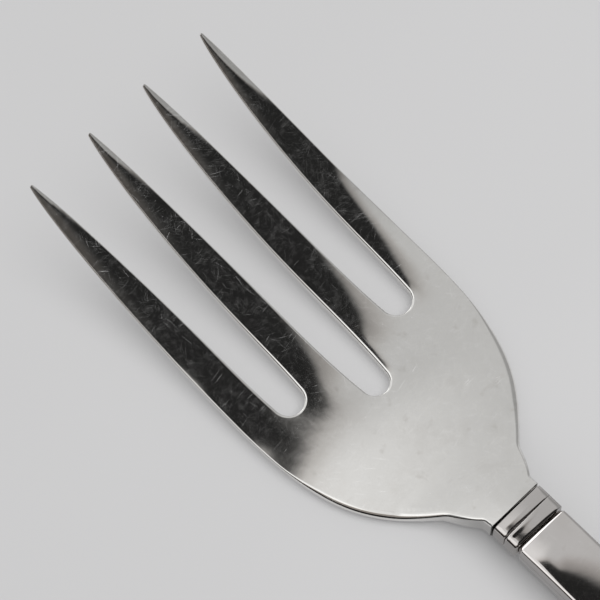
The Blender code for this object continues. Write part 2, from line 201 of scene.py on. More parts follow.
class ForkStemSizes(bpy.types.PropertyGroup):
    """Sizes of the neck rings, the handle and the tang."""
    front_edges: lengths("Front edges", "Length of the edges facing the tines, on the rings and the handle",
                         (0.03, 0.3, 0.65))
    rear_edges: lengths("Rear edges", "Length of the edges that face the handle, ring by ring", (0.25, 0.45))
    joint: length("Joint", "Width of the fine line at a joint of the neck", 0.06)
    edge_depth: length("Edge depth", "Most that a round edge falls at a joint", 0.4)
    beads: lengths("Beads", "Height of the bead behind each ring's front edge", (0, 0.012))
    bead_width: length("Bead width", "Half the length of a bead", 0.5)
    ring_fillet: length("Ring fillet", "Radius along the sides of the rings", 1.0)
    worn: factor("Groove wear", "How much of a groove is worn away on its right", 0.95)
    half: length("Handle half", "Half width of the handle at its mouth", 4.8)
    end_half: length("End half", "Half width of the handle near its end", 9.6)
    flare_start: length("Flare start", "Distance back where the handle starts to widen", 104)
    flare_end: length("Flare end", "Distance back where the handle stops widening", 202)
    top_end: length("End height", "Height of the handle's upper face at its end", 5.1)
    sweep: length("Sweep", "Length over which the upper face falls to its end height", 70)
    swell: ratio("Swell", "How steeply the upper face swells behind the mouth", 0.06)
    swell_length: length("Swell length", "Length of the swelling behind the mouth", 24)
    lean: ratio("Lean", "How steeply the upper face falls to the right behind the mouth", 0.014)
    lands: length("Landing", "Distance back where the handle meets the table", 180)
    sink: length("Landing sink", "Depth of the flat that the handle rests on", 0.25)
    end_round: length("End round", "Length of the handle's round end", 9)
    crown: ratio("Crown", "Height of the handle's crown as a share of its half width", 0.015)
    fillet: length("Fillet", "Radius along the sides of the handle", 0.55)
    wall: length("Wall", "Thickness of a handle shell", 0.6)
    seam: length("Seam", "Width of the seam between the handle shells", 0.06)
    tang_half: length("Tang half", "Half width of the tang", 2.5)
    tang_tip_half: length("Tang tip half", "Half width of the tang at its end", 1.4)
    tang_thickness: length("Tang thickness", "Thickness of the tang", 1.5)
    tang_fillet: length("Tang fillet", "Radius of the tang's edges", 0.25)
    tang_start: length("Tang start", "Distance back where the tang grows out of the neck", 87)
    tang_end: length("Tang end", "Distance back to the end of the tang", 138)


class ForkFinish(bpy.types.PropertyGroup):
    """Colours and wear of the metal and the cement."""
    silver: colour("Silver", "Colour of the clean metal", (0.84, 0.83, 0.81))
    # Painted shade: the rings and the handle get darker copies of the head's clean silver
    rings: colour("Ring silver", "Colour of the clean metal on the rings", (0.66, 0.635, 0.62))
    handle: colour("Handle silver", "Colour of the clean metal on the handle", (0.78, 0.75, 0.735))
    tarnish: colour("Tarnish", "Colour of the dull patches", (0.60, 0.57, 0.53))
    scratch: colour("Scratch", "Colour of the fresh metal in the scratches", (1.0, 0.995, 0.985))
    # Painted shade: near-black colour of a band at the neck's first joint
    joint_shade: colour("Joint shade", "Colour of the dirt at the neck's first joint", (0.04, 0.037, 0.033))
    cement: colour("Cement", "Colour of the cement core", (0.42, 0.37, 0.30))
    polish: factor("Polish", "Roughness of the clean metal", 0.042)
    seed: IntProperty(name="Seed", description="Shifts the pattern of the wear", default=3)


class ForkStage(bpy.types.PropertyGroup):
    """Table, light and camera."""
    table: colour("Table", "Colour of the table", (0.60, 0.598, 0.602))
    camera_turn: angle("Camera turn", "Turn of the camera about the vertical", -44.59)
    camera_tilt: angle("Camera tilt", "Angle between the view and straight down", 20)
    camera_place: lengths("Camera place", "Where the camera stands", (-140.05, -72.12, 554.58))
    lens: FloatProperty(name="Lens", description="Focal length for a sensor 36 mm wide",
                        default=224.4, unit='CAMERA')
    # Painted light: share of a glow in the table's own colour that lifts its shadows
    shadow_fill: factor("Shadow fill", "How much the table's shadows are lifted beside the bowl", 0.33)
    dome: FloatProperty(name="Dome", description="Level of the soft light from all round",
                        default=0.54, min=0, max=2)
    key: FloatProperty(name="Key lamp", description="Power of the soft lamp above on the right",
                       default=5.7, unit='POWER')


SETTINGS = {
    "fork_head_sizes": ForkHeadSizes,
    "fork_stem_sizes": ForkStemSizes,
    "fork_finish": ForkFinish,
    "fork_stage": ForkStage,
}

# Fineness of the meshes and roundness of small forms
TINE_STEPS = 150
TINE_SPACING = 1.5
ROOT_STEPS = 28
SHOULDER_STEPS = 110
LOBE_STEPS = 22
NECK_STEPS = 16
SOFTEN_FROM = 74 * MM
SOFTEN_PASSES = 4
RIM_STEPS = 9
RIM_OF_TINE = 0.45
RIM_OF_THICKNESS = 0.46
RIM_BLEND = 4
GRID = 0.6 * MM
GRID_MARGIN = 0.4 * MM
FINE_BACK = 15 * MM
SUPPORTS = (0.12, 0.35)
DOME_STEPS = 28
FILLET_STEPS = 7
EDGE_STEPS = 6
BEVEL_ROUND = 1.03
BEVEL_SUPPORT = 0.08 * MM
RING_STEPS = 12
HANDLE_STEPS = 72
END_STEPS = 16
END_TURN = math.radians(86)
END_FULLNESS = 0.6
TANG_STEPS = 12
RIDGE_START = -0.5
RIDGE_END = 1.0
RIDGE_ROUND = 0.1 * MM
ROLL_ROUND = 1.0 * MM
LIP_ROUND = 0.3 * MM
SHARP = math.radians(40)
MESH_MERGE = 1e-6


# Formulas of the fork's surfaces

def ease(value):
    """Smooth step from 0 to 1, flat at both ends."""
    value = min(1.0, max(0.0, value))
    return value * value * (3 - 2 * value)


def softer_min(first, second):
    """The smaller of two lengths, with a smooth change between them."""
    return (first ** -RIM_BLEND + second ** -RIM_BLEND) ** (-1 / RIM_BLEND)


def rise_and_fall(span, back):
    """Share that grows from the start of a span to its full place and is gone at its end."""
    start, full, end = span
    return ease((back - start) / (full - start)) * (1 - ease((back - full) / (end - full)))


def softly_past(distance, roundness):
    """Distance past a line, next to nothing before it, with a round change at the line."""
    return (distance + math.hypot(distance, roundness)) / 2


def place(x, back, z):
    """Point in space for a distance back from the tips."""
    return Vector((x, CAD_HIGH.y - back, z))


class HeadShape:
    """Plan and heights of the bowl, the tines and the neck."""

    def __init__(self, size):
        self.size = size

    def tine_half(self, back, full):
        """Half the width of a tine, narrowing to its tip."""
        reach = min(1.0, (back + self.size.tip_blunt) / self.size.taper)
        return full * math.sin(math.pi / 2 * reach) ** self.size.fullness

    def outer_x(self, back):
        """Middle line of an outer tine, which leans outwards near its tip."""
        lean = max(0.0, 1 - back / self.size.splay_back) ** 2
        return self.size.outer_tine_x + self.size.splay * lean

    def outer_outside(self, back):
        """Outer edge of an outer tine, swelling into the shoulder."""
        size = self.size
        swell = size.shoulder[0] - size.outer_tine_x - size.outer_tine_half
        share = ease((back - size.shoulder_fade) / (size.shoulder[1] - size.shoulder_fade))
        return self.outer_x(back) + self.tine_half(back, size.outer_tine_half) + swell * share

    def outer_inside(self, back):
        """Inner edge of an outer tine."""
        return self.outer_x(back) - self.tine_half(back, self.size.outer_tine_half)

    def inner_outside(self, back):
        """Outer edge of an inner tine."""
        return self.size.inner_tine_x + self.tine_half(back, self.size.inner_tine_half)

    def inner_inside(self, back):
        """Inner edge of an inner tine."""
        return self.size.inner_tine_x - self.tine_half(back, self.size.inner_tine_half)

    def tine_backs(self, last):
        """Distances back along a tine's edge from its nose, closer together near the tip."""
        nose = self.size.tip_nose
        return [nose + (last - nose) * (step / TINE_STEPS) ** TINE_SPACING for step in range(TINE_STEPS + 1)]

    def nose(self, outside, inside):
        """Round nose of a tine from its outer to its inner edge, without the two ends."""
        nose = self.size.tip_nose
        middle = (outside(nose) + inside(nose)) / 2
        half = outside(nose) - middle
        turns = [math.pi * step / EDGE_STEPS for step in range(1, EDGE_STEPS)]
        return [Vector((middle + half * math.cos(turn), nose * (1 - math.sin(turn)))) for turn in turns]

    def slot_side(self, tine_edge, root_x, root_centre):
        """Side of a slot from the tip back, drawn in from the tine's edge to the round root."""
        draw = root_x - tine_edge(root_centre)
        return [Vector((tine_edge(back) + draw * math.exp((back - root_centre) / self.size.slot_ease), back))
                for back in self.tine_backs(root_centre)]

    def right_outline(self):
        """Right half of the outline, from the middle of the neck's end to the middle slot's root."""
        size = self.size
        shoulder, cusp, corner = Vector(size.shoulder), Vector(size.cusp), Vector(size.corner)
        outer_centre = size.outer_slot_root - size.outer_slot_radius
        middle_centre = size.middle_slot_root - size.middle_slot_radius
        pull = shoulder + Vector((0, size.shoulder_pull))
        points = [Vector((size.neck_half * step / NECK_STEPS, NECK_END)) for step in range(NECK_STEPS)]
        points += curve(Vector((size.neck_half, NECK_END)), corner, NECK_STEPS // 2)
        points += curve(corner, cusp, LOBE_STEPS, Vector(size.corner_pull), Vector(size.cusp_neck_pull))
        points += curve(cusp, shoulder, SHOULDER_STEPS, Vector(size.cusp_bowl_pull), pull)
        points += [Vector((self.outer_outside(back), back))
                   for back in reversed(self.tine_backs(shoulder.y))]
        points += self.nose(self.outer_outside, self.outer_inside)
        points += self.slot_side(self.outer_inside, size.outer_slot_x + size.outer_slot_radius, outer_centre)
        points += slot_root(size.outer_slot_x, outer_centre, size.outer_slot_radius)
        points += reversed(self.slot_side(self.inner_outside, size.outer_slot_x - size.outer_slot_radius,
                                          outer_centre))
        points += self.nose(self.inner_outside, self.inner_inside)
        points += self.slot_side(self.inner_inside, size.middle_slot_radius, middle_centre)
        points += slot_root(0, middle_centre, size.middle_slot_radius)[:ROOT_STEPS // 2]
        return points

    def outline(self):
        """Whole outline as X and distance back, anticlockwise from above, with soft neck corners."""
        right = self.right_outline()
        left = [Vector((-point.x, point.y)) for point in reversed(right[1:-1])]
        points = right + left
        for _ in range(SOFTEN_PASSES):
            points = [point if point.y < SOFTEN_FROM else
                      (points[index - 1] + 2 * point + points[(index + 1) % len(points)]) / 4
                      for index, point in enumerate(points)]
        return points

    def spine(self, back):
        """Height of the upper face along the middle line."""
        size = self.size
        if back < size.heel_back:
            return size.heel_thickness + size.tip_rise * (1 - back / size.heel_back) ** size.tine_curve
        climb = ease((back - size.neck_start) / (size.neck_level - size.neck_start))
        return size.heel_thickness + size.neck_rise * climb

    def thickness(self, back):
        """Thickness along the middle line: thin tips, a thicker bowl and a stout neck."""
        size = self.size
        plate = size.tip_thickness + (size.heel_thickness - size.tip_thickness) * ease(back / size.tine_root)
        stout = ease((back - size.neck_thickens) / (NECK_END - size.neck_thickens))
        return plate + (size.neck_depth - size.heel_thickness) * stout

    def neck_fall(self, x, back):
        """How far the crowned neck falls away beside its middle line."""
        share = ease((back - self.size.crown_start) / (NECK_END - self.size.crown_start))
        return self.size.neck_crown * share * (x / self.size.neck_half) ** 2

    def ripple(self, x, back):
        """How far each tine's face falls away beside its own middle line."""
        size = self.size
        share = 1 - ease((back - size.ripple_start) / (size.ripple_end - size.ripple_start))
        pitch = size.outer_tine_x - size.inner_tine_x
        wave = 1 - math.cos(2 * math.pi * (x - size.inner_tine_x) / pitch)
        return size.tine_ripple * share * wave / 2

    def tine_at(self, x, back):
        """Number of the tine at a place, from the left, with its middle line and half width."""
        size = self.size
        inner = abs(x) < (size.inner_tine_x + size.outer_tine_x) / 2
        number = (1 if inner else 0) if x < 0 else (2 if inner else 3)
        middle = math.copysign(size.inner_tine_x if inner else self.outer_x(back), x)
        return number, middle, self.tine_half(back, size.inner_tine_half if inner else size.outer_tine_half)

    def tip_fall(self, x, back):
        """How far the crowned face of a tine falls near its tip."""
        _, middle, half = self.tine_at(x, back)
        share = 1 - ease(back / self.size.tip_crown_end)
        return self.size.tip_crown * share * min(1.0, abs(x - middle) / half) ** 2

    def facet_fall(self, x, back):
        """How far the worn facet falls on the right of a tip, past a ridge that runs from left to right."""
        number, middle, half = self.tine_at(x, back)
        facet = self.size.facets[number]
        if back > facet:
            return 0.0
        ridge = half * (RIDGE_START + (RIDGE_END - RIDGE_START) * back / facet)
        return self.size.facet_slope * softly_past(x - middle - ridge, RIDGE_ROUND)

    def roll_fall(self, x, back):
        """How far the outer tines roll outwards, the right one further back than the left one."""
        size = self.size
        start, full, end = size.roll_span
        share = rise_and_fall((start, full, size.right_roll_end if x > 0 else end), back)
        return size.roll * share * softly_past(abs(x) - size.roll_x, ROLL_ROUND)

    def twist_fall(self, x, back):
        """How far the root of the left tine is twisted down to the left."""
        share = rise_and_fall(self.size.twist_span, back)
        return self.size.twist * share * softly_past(-x - self.size.twist_x, ROLL_ROUND)

    def lip_fall(self, x, back):
        """How far the left edge of a tine falls towards its slot, up to the slot's root."""
        size = self.size
        pitch = size.outer_slot_x
        number = math.floor(x / pitch)
        if number < -1:
            return 0.0
        root, radius = size.outer_slot_root, size.outer_slot_radius
        if number == 0:
            root, radius = size.middle_slot_root, size.middle_slot_radius
        past = max(0.0, number * pitch + radius + size.lip_width - x)
        share = 1 - ease((back - root + size.lip_end) / size.lip_end)
        return size.lip * share * past ** 2 / (past + LIP_ROUND)

    def top(self, x, back):
        """Height of the upper face."""
        falls = self.neck_fall(x, back) + self.ripple(x, back) + self.tip_fall(x, back)
        falls += self.facet_fall(x, back) + self.roll_fall(x, back) + self.twist_fall(x, back)
        return self.spine(back) - falls - self.lip_fall(x, back)

    def bottom(self, x, back):
        """Height of the lower face, thinner towards the sides and flat where the heel rests."""
        size = self.size
        thinner = size.edge_thinning * (x / size.shoulder[0]) ** 2
        rise = thinner + self.neck_fall(x, back) - size.land_sink
        return max(0.0, self.spine(back) - self.thickness(back) + rise)

    def rim_width(self, x, back):
        """How far the round rim reaches in from the outline."""
        size = self.size
        slimmer = ease((back - size.cusp[1]) / (size.corner[1] - size.cusp[1]))
        full = size.rim + (size.neck_rim - size.rim) * slimmer
        full += (size.end_rim - full) * ease((back - NECK_END + size.end_blend) / size.end_blend)
        if abs(x) > size.outer_tine_x or back > size.middle_slot_root + MESH_MERGE:
            share = ease((back - size.rim_start) / (size.rim_full - size.rim_start))
        else:
            share = ease((back - size.root_rim_start) / (size.outer_slot_root - size.root_rim_start))
            full = size.root_rim
        full = size.tine_rim + (full - size.tine_rim) * share
        return softer_min(full, RIM_OF_TINE * self.tine_half(back, size.inner_tine_half))


class StemShape:
    """Heights and sections of the neck rings, the tang and the handle."""

    def __init__(self, head, size):
        self.head = head
        self.size = size

    def top(self, back):
        """Height of the upper face along the middle line."""
        if back <= HANDLE_MOUTH:
            return self.head.spine(back)
        start = self.head.spine(HANDLE_MOUTH)
        along = min(1.0, (back - HANDLE_MOUTH) / self.size.swell_length)
        swell = self.size.swell * self.size.swell_length * along * (1 - along) ** 3
        return start + swell - (start - self.size.top_end) * ease((back - HANDLE_MOUTH) / self.size.sweep)

    def bottom(self, back):
        """Height of the lower face along the middle line, before it is cut flat to rest."""
        depth = self.head.size.neck_depth
        if back <= HANDLE_MOUTH:
            return self.head.spine(back) - depth
        start = self.head.spine(HANDLE_MOUTH) - depth
        share = ease((back - HANDLE_MOUTH) / (self.size.lands - HANDLE_MOUTH))
        return start - (start + self.size.sink) * share

    def seam(self, back):
        """Height of the seam between the shells, which the tang follows too."""
        return (self.top(back) + self.bottom(back)) / 2

    def half(self, back):
        """Half the width of the handle."""
        flare = ease((back - self.size.flare_start) / (self.size.flare_end - self.size.flare_start))
        return self.size.half + (self.size.end_half - self.size.half) * flare

    def bead(self, number, distance):
        """Height of the bead behind a front edge, at a distance from the joint."""
        if distance > 2 * self.size.bead_width:
            return 0.0
        return self.size.beads[number] * (1 - math.cos(math.pi * distance / self.size.bead_width)) / 2

    def filled(self, section, seam, inset):
        """Section of a groove, filled up on the right of its upper face where the metal is worn."""
        half = self.head.size.neck_half
        points = []
        for x, z in section:
            share = self.size.worn * ease((x / half + 1) / 2) * inset
            points.append((x + share if x > 0 else x, z + share if z > seam else z))
        return points

    def ring_loop(self, back, inset):
        """Points all round a neck ring, drawn in by an inset."""
        neck = self.head.size
        section = whole_section(neck.neck_half - inset, self.seam(back), self.top(back) - inset,
                                self.bottom(back) + inset, neck.neck_crown, self.size.ring_fillet)
        return [place(x, back, z) for x, z in self.filled(section, self.seam(back), inset)]

    def tang_loop(self, back, clearance):
        """Points all round the tang, or round the hole that clears it."""
        size = self.size
        taper = max(0.0, (back - HANDLE_MOUTH) / (size.tang_end - HANDLE_MOUTH))
        half = size.tang_half + (size.tang_tip_half - size.tang_half) * taper + clearance
        deep = size.tang_thickness / 2 + clearance
        seam = self.seam(back)
        section = whole_section(half, seam, seam + deep, seam - deep, 0, size.tang_fillet)
        return [place(x, back, z) for x, z in section]

    def stations(self):
        """Rows along a handle shell: distance back, share of the full section, and edge inset."""
        size = self.size
        end_start = LENGTH - size.end_round
        edge = size.front_edges[2]
        shares = [step / EDGE_STEPS for step in range(EDGE_STEPS + 1)]
        rows = [(HANDLE_MOUTH + edge * share, 1.0, size.edge_depth * (1 - share) ** BEVEL_ROUND)
                for share in shares]
        first = HANDLE_MOUTH + edge + BEVEL_SUPPORT
        rows.append((first, 1.0, 0.0))
        for step in range(1, HANDLE_STEPS + 1):
            rows.append((first + (end_start - first) * step / HANDLE_STEPS, 1.0, 0.0))
        for step in range(1, END_STEPS + 1):
            turn = END_TURN * step / END_STEPS
            reach = size.end_round * math.sin(turn) / math.sin(END_TURN)
            rows.append((end_start + reach, math.cos(turn), 0.0))
        return rows

    def shell_row(self, back, left, inset, side):
        """Points across one shell at a station, from its right seam to its left seam."""
        size = self.size
        half = self.half(back) * left
        full = left ** END_FULLNESS
        seam = self.seam(back)
        face = self.top(back) if side > 0 else self.bottom(back)
        face = seam + (face - seam) * full - side * inset
        section = half_section(half - inset, seam + side * size.seam / 2, face, size.crown * half,
                               size.fillet * full)
        if side > 0:
            lean = size.lean * (1 - ease((back - HANDLE_MOUTH) / size.sweep)) / (face - seam)
            section = [(x, z - lean * x * (z - seam - size.seam / 2)) for x, z in section]
        return [place(x, back, max(z, inset, 0.0)) for x, z in section]


def curve(start, end, steps, start_pull=None, end_pull=None):
    """Points of a Bezier curve, or of a straight line without pulls, without the last point."""
    return interpolate_bezier(start, start_pull or start, end_pull or end, end, steps + 1)[:-1]


def slot_root(centre_x, centre_back, radius):
    """Round end of a slot, from its right side to its left, without the two ends."""
    turns = [math.pi * step / ROOT_STEPS for step in range(1, ROOT_STEPS)]
    return [Vector((centre_x + radius * math.cos(turn), centre_back + radius * math.sin(turn)))
            for turn in turns]


def edge_rows(end, step_in, long, deep):
    """Rows of a round edge from a joint inwards: distance back and how far the section is drawn in."""
    rows = []
    for step in range(EDGE_STEPS + 1):
        turn = math.pi / 2 * step / EDGE_STEPS
        rows.append((end + step_in * long * (1 - math.cos(turn)), deep * (1 - math.sin(turn))))
    return rows


def half_section(half, seam, face, crown, fillet):
    """X and Z of half a section, from the right seam over its crowned face to the left seam."""
    side = math.copysign(1, face - seam)
    flat = half - fillet
    right = [(half, seam)]
    for step in range(FILLET_STEPS + 1):
        turn = math.pi / 2 * step / FILLET_STEPS
        fall = crown + fillet * (1 - math.sin(turn))
        right.append((flat + fillet * math.cos(turn), face - side * fall))
    xs = [flat * (1 - 2 * step / DOME_STEPS) for step in range(1, DOME_STEPS)]
    left = [(-x, z) for x, z in reversed(right)]
    return right + [(x, face - side * crown * (x / flat) ** 2) for x in xs] + left


def whole_section(half, seam, top, bottom, crown, fillet):
    """X and Z all round a section, from the right seam over the top."""
    upper = half_section(half, seam, top, crown, fillet)
    lower = half_section(half, seam, bottom, crown, fillet)
    return upper + lower[-2:0:-1]


# Meshes

def add_loop(mesh, points):
    """Adds a row of points to a mesh."""
    return [mesh.verts.new(point) for point in points]


def bridge(mesh, first, second, closed):
    """Joins two rows of points with four-sided faces."""
    count = len(first) if closed else len(first) - 1
    for index in range(count):
        after = (index + 1) % len(first)
        mesh.faces.new((first[index], first[after], second[after], second[index]))


def loft(loops, cyclic):
    """Closed skin over a row of loops, capped at its ends or joined back to its first loop."""
    mesh = bmesh.new()
    rows = [add_loop(mesh, loop) for loop in loops]
    for first, second in zip(rows, rows[1:]):
        bridge(mesh, first, second, True)
    if cyclic:
        bridge(mesh, rows[-1], rows[0], True)
    else:
        mesh.faces.new(rows[0])
        mesh.faces.new(rows[-1])
    return mesh


def make_object(name, mesh):
    """Makes a smooth object of a finished mesh, with its faces outwards."""
    bmesh.ops.recalc_face_normals(mesh, faces=mesh.faces)
    data = bpy.data.meshes.new(name)
    mesh.to_mesh(data)
    mesh.free()
    data.shade_smooth()
    data.set_sharp_from_angle(angle=SHARP)
    made = bpy.data.objects.new(name, data)
    bpy.context.scene.collection.objects.link(made)
    return made


def add_piece(node, mesh, finish):
    """Puts a finely modelled piece in the place of a CAD node."""
    piece = make_object(node + "_silver", mesh)
    piece.data.materials.append(finish)
    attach(piece, "root")
    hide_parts(node)
    return piece


def inward(outline):
    """Unit vectors that point into an outline at each of its points."""
    vectors = []
    for index in range(len(outline)):
        along = outline[(index + 1) % len(outline)] - outline[index - 1]
        vectors.append(Vector((along.y, -along.x)).normalized())
    return vectors


def grid_inside(loop, shape):
    """Points of a square grid over the head, finer at the tips, that keep clear of a loop."""
    tree = KDTree(len(loop))
    for index, point in enumerate(loop):
        tree.insert(point.to_3d(), index)
    tree.balance()
    kept = []
    for step, first, last in ((GRID / 2, 0, FINE_BACK), (GRID, FINE_BACK, NECK_END)):
        columns = round(shape.size.shoulder[0] / step)
        for row in range(round(first / step), round(last / step)):
            line = [Vector((column * step, row * step)) for column in range(-columns, columns + 1)]
            kept += [point for point in line if tree.find(point.to_3d())[2] > GRID_MARGIN * step / GRID]
    return kept


def rim_rows(shape, outline, height, side):
    """Plan and height of each row of a round rim, from the side wall in to the face."""
    vectors = inward(outline)
    widths = [shape.rim_width(point.x, point.y) for point in outline]
    depths = [min(wide, RIM_OF_THICKNESS * (shape.top(point.x, point.y) - shape.bottom(point.x, point.y)))
              for wide, point in zip(widths, outline)]
    profile = [(1 - math.cos(turn), 1 - math.sin(turn)) for turn in
               (math.pi / 2 * step / RIM_STEPS for step in range(RIM_STEPS + 1))]
    profile += [(1 + extra, 0.0) for extra in SUPPORTS]
    rows = []
    for inset, drop in profile:
        row = []
        for point, vector, wide, deep in zip(outline, vectors, widths, depths):
            moved = point + vector * wide * inset
            row.append((moved, height(moved.x, moved.y) - side * deep * drop))
        rows.append(row)
    return rows


def head_mesh(shape):
    """Bowl, tines and neck: two facing sheets inside a round rim."""
    outline = shape.outline()
    mesh = bmesh.new()
    walls = []
    for height, side in ((shape.top, 1), (shape.bottom, -1)):
        rows = rim_rows(shape, outline, height, side)
        loops = [add_loop(mesh, [place(point.x, point.y, z) for point, z in row]) for row in rows]
        for first, second in zip(loops, loops[1:]):
            bridge(mesh, first, second, True)
        walls.append(loops[0])
        inner = [point for point, _ in rows[-1]]
        add_sheet(mesh, inner, loops[-1], shape, height)
    bridge(mesh, walls[0], walls[1], True)
    return mesh


def add_sheet(mesh, inner, loop, shape, height):
    """Fills the inside of a rim with a sheet of even triangles."""
    extra = grid_inside(inner, shape)
    flat = [point / MM for point in inner + extra]
    found = delaunay_2d_cdt(flat, [], [list(range(len(inner)))], 1, MESH_MERGE)
    places, triangles, sources = found[0], found[2], found[3]
    corners = {}
    for index, source in enumerate(sources):
        if source and source[0] < len(loop):
            corners[index] = loop[source[0]]
    for triangle in triangles:
        for index in triangle:
            if index not in corners:
                point = places[index] * MM
                corners[index] = mesh.verts.new(place(point.x, point.y, height(point.x, point.y)))
        mesh.faces.new([corners[index] for index in triangle])


# Finishes

class Signal:
    """A node's socket that takes part in expressions, each of which adds its nodes to the tree."""

    def __init__(self, tree, socket=None):
        self.tree = tree
        self.socket = socket

    def node(self, kind, settings, inputs, output=0):
        """Adds a node, sets its settings and then its sockets, and gives one of its outputs."""
        made = self.tree.nodes.new(kind)
        for name, value in settings.items():
            setattr(made, name, value)
        for key, value in inputs.items():
            if isinstance(value, Signal):
                self.tree.links.new(value.socket, made.inputs[key])
            else:
                made.inputs[key].default_value = value
        return Signal(self.tree, made.outputs[output])

    def math(self, operation, *values):
        """A Math node on values."""
        return self.node("ShaderNodeMath", {"operation": operation}, dict(enumerate(values)))

    def __add__(self, other):
        return self.math('ADD', self, other)

    def __sub__(self, other):
        return self.math('SUBTRACT', self, other)

    def __rsub__(self, other):
        return self.math('SUBTRACT', other, self)

    def __mul__(self, other):
        return self.math('MULTIPLY', self, other)

    __radd__ = __add__
    __rmul__ = __mul__

    def step(self, low, high):
        """Smooth step from 0 to 1 between two values."""
        return self.node("ShaderNodeMapRange", {"interpolation_type": 'SMOOTHSTEP'},
                         {"Value": self, "From Min": low, "From Max": high})

    def fall(self, low, high):
        """Smooth step from 1 to 0 between two values."""
        return 1 - self.step(low, high)

    def at_least(self, other):
        """The larger of two values."""
        return self.math('MAXIMUM', self, other)

    def within(self, low, high):
        """The value kept between two limits."""
        return self.node("ShaderNodeClamp", {}, {"Value": self, "Min": low, "Max": high})

    def mix(self, first, second):
        """Blend of two colours, with this value as the share of the second."""
        return self.node("ShaderNodeMix", {"data_type": 'RGBA'},
                         {"Factor": self, 6: first, 7: second}, 2)

    def dot(self, vector):
        """Part of this vector along a direction."""
        return self.node("ShaderNodeVectorMath", {"operation": 'DOT_PRODUCT'}, {0: self, 1: vector}, "Value")

    def mapped(self, offset=(0, 0, 0), turn=(0, 0, 0), scale=(1, 1, 1)):
        """This place seen from a pattern that is moved, turned and then stretched."""
        return self.node("ShaderNodeMapping", {"vector_type": 'TEXTURE'},
                         {"Vector": self, "Location": offset, "Rotation": turn, "Scale": scale})

    def noise(self, scale, detail):
        """Noise at this place, from 0 to 1 around 0.5."""
        return self.node("ShaderNodeTexNoise", {}, {"Vector": self, "Scale": scale, "Detail": detail})

    def curled(self, scale, amount):
        """This place pushed about by noise, so that straight lines curl."""
        push = self.node("ShaderNodeTexNoise", {}, {"Vector": self, "Scale": scale, "Detail": 0.0}, "Color")
        return self.node("ShaderNodeVectorMath", {"operation": 'MULTIPLY_ADD'},
                         {0: push, 1: (amount,) * 3, 2: self})

    def ray(self, kind):
        """1 for rays of one kind and 0 for all others."""
        return self.node("ShaderNodeLightPath", {}, {}, kind)

    def bump(self, distance):
        """Normal of a surface with this height, in units of a distance."""
        return self.node("ShaderNodeBump", {}, {"Strength": 1.0, "Distance": distance, "Height": self})

    def feed(self, socket):
        """Links this value to a shader's socket."""
        self.tree.links.new(self.socket, socket)


def opaque(rgb):
    """Colour of a property as four numbers."""
    return (*rgb, 1)


def darkened(rgb, share):
    """A share of a property's colour as four numbers."""
    return opaque([share * channel for channel in rgb])


def blend(masks, shares):
    """Sum of named masks, each with its own share."""
    return sum(masks[name] * share for name, share in shares.items())


def new_finish(name, roughness):
    """New material with its shader, and a signal of the place on the piece in millimetres."""
    made = bpy.data.materials.new(name)
    made.use_nodes = True
    shader = made.node_tree.nodes["Principled BSDF"]
    shader.inputs["Roughness"].default_value = roughness
    where = Signal(made.node_tree).node("ShaderNodeTexCoord", {}, {}, "Object")
    return made, shader, where.mapped(scale=(MM,) * 3)


# Wear of the silver, in millimetres. Noise is given by its scale and detail, a curl by its scale and push,
# pits by their scale and radius, and the edge of a smooth step by its low and high value.
HAIRLINE_COUNT = 6
HAIRLINE_TURN = 2.4
HAIRLINE_SHIFT = (31.7, 17.3)
HAIRLINE_LENGTH = 2.0
HAIRLINE_WIDTH = 0.05
HAIRLINE_SOFTNESS = 0.06
PATCHES = (0.25, 1.0)
PATCH_EDGE = (0.46, 0.66)
FINE_CURL = (0.4, 1.2)
FINE_SPARSE = 0.71
DEEP_CURL = (0.2, 2.0)
DEEP_STRETCH = 1.6
DEEP_SHIFT = 9.1
DEEP_SPARSE = 0.78
PIT_CHANCE = (0.72, 0.76)
PIT_FLOOR = 0.4
DENTS = (0.7, 0.06)
SPECKS = (1.2, 0.06)
SPECK_SHIFT = 5.3
# Painted shade: a dark band at the neck's first joint, wider on the left
JOINT_SHADE_REACH = 0.17
JOINT_SHADE_WIDENS = 0.03
JOINT_SHADE_EDGE = (-0.15, 0.05)
CLOUD = (0.16, 3.0)
STAIN_EDGE = (0.5, 0.8)
GRAIN = (3.0, 4.0)
DULL = (0.42, 2.0)
DULL_EDGE = (0.62, 0.78)
SMEAR = (0.9, 5.0)
SMEAR_EDGE = (0.5, 0.72)
TARNISHED = {"dull": 0.3, "stain": 0.2, "dents": 0.6}
SCUFFED = {"deep": 1.0, "fine": 0.4}
ROUGHENED = {"dents": 0.15, "joint_shade": 0.3, "dull": 0.02, "grain": 0.015, "cloud": 0.01}
ROUGHENED_MEAN = 0.0125
ROUGHNESS_LIMITS = (0.03, 0.7)
SCATTERED = {"fine": 0.08, "deep": 0.25, "specks": 0.35, "smear": 0.025}
MICRONS = {"cloud": 4.0, "dents": -1.2, "grain": 0.02}
MICRON = 0.001 * MM


def hairlines(where, shift, sparse):
    """Mask of fine scratches that run in several directions, in patches."""
    total = 0
    for index in range(HAIRLINE_COUNT):
        offset = (shift + HAIRLINE_SHIFT[0] * index, HAIRLINE_SHIFT[1] * index, 0)
        turn = (0, 0, HAIRLINE_TURN * index)
        stretched = where.mapped(offset, turn, (HAIRLINE_LENGTH, HAIRLINE_WIDTH, 1))
        streak = stretched.noise(1.0, 0.0).step(sparse, sparse + HAIRLINE_SOFTNESS)
        total = streak * where.mapped(offset).noise(*PATCHES).step(*PATCH_EDGE) + total
    return total.within(0, 1)


def pits(where, shift, scale, radius):
    """Mask of small round dents, on about one cell in four."""
    moved = where.mapped((shift, shift, 0))
    cells = {"Vector": moved, "Scale": scale}
    spot = moved.node("ShaderNodeTexVoronoi", {}, cells, "Distance")
    chance = moved.node("ShaderNodeTexVoronoi", {}, cells, "Color").dot((1, 0, 0))
    return spot.fall(PIT_FLOOR * radius * scale, radius * scale) * chance.step(*PIT_CHANCE)


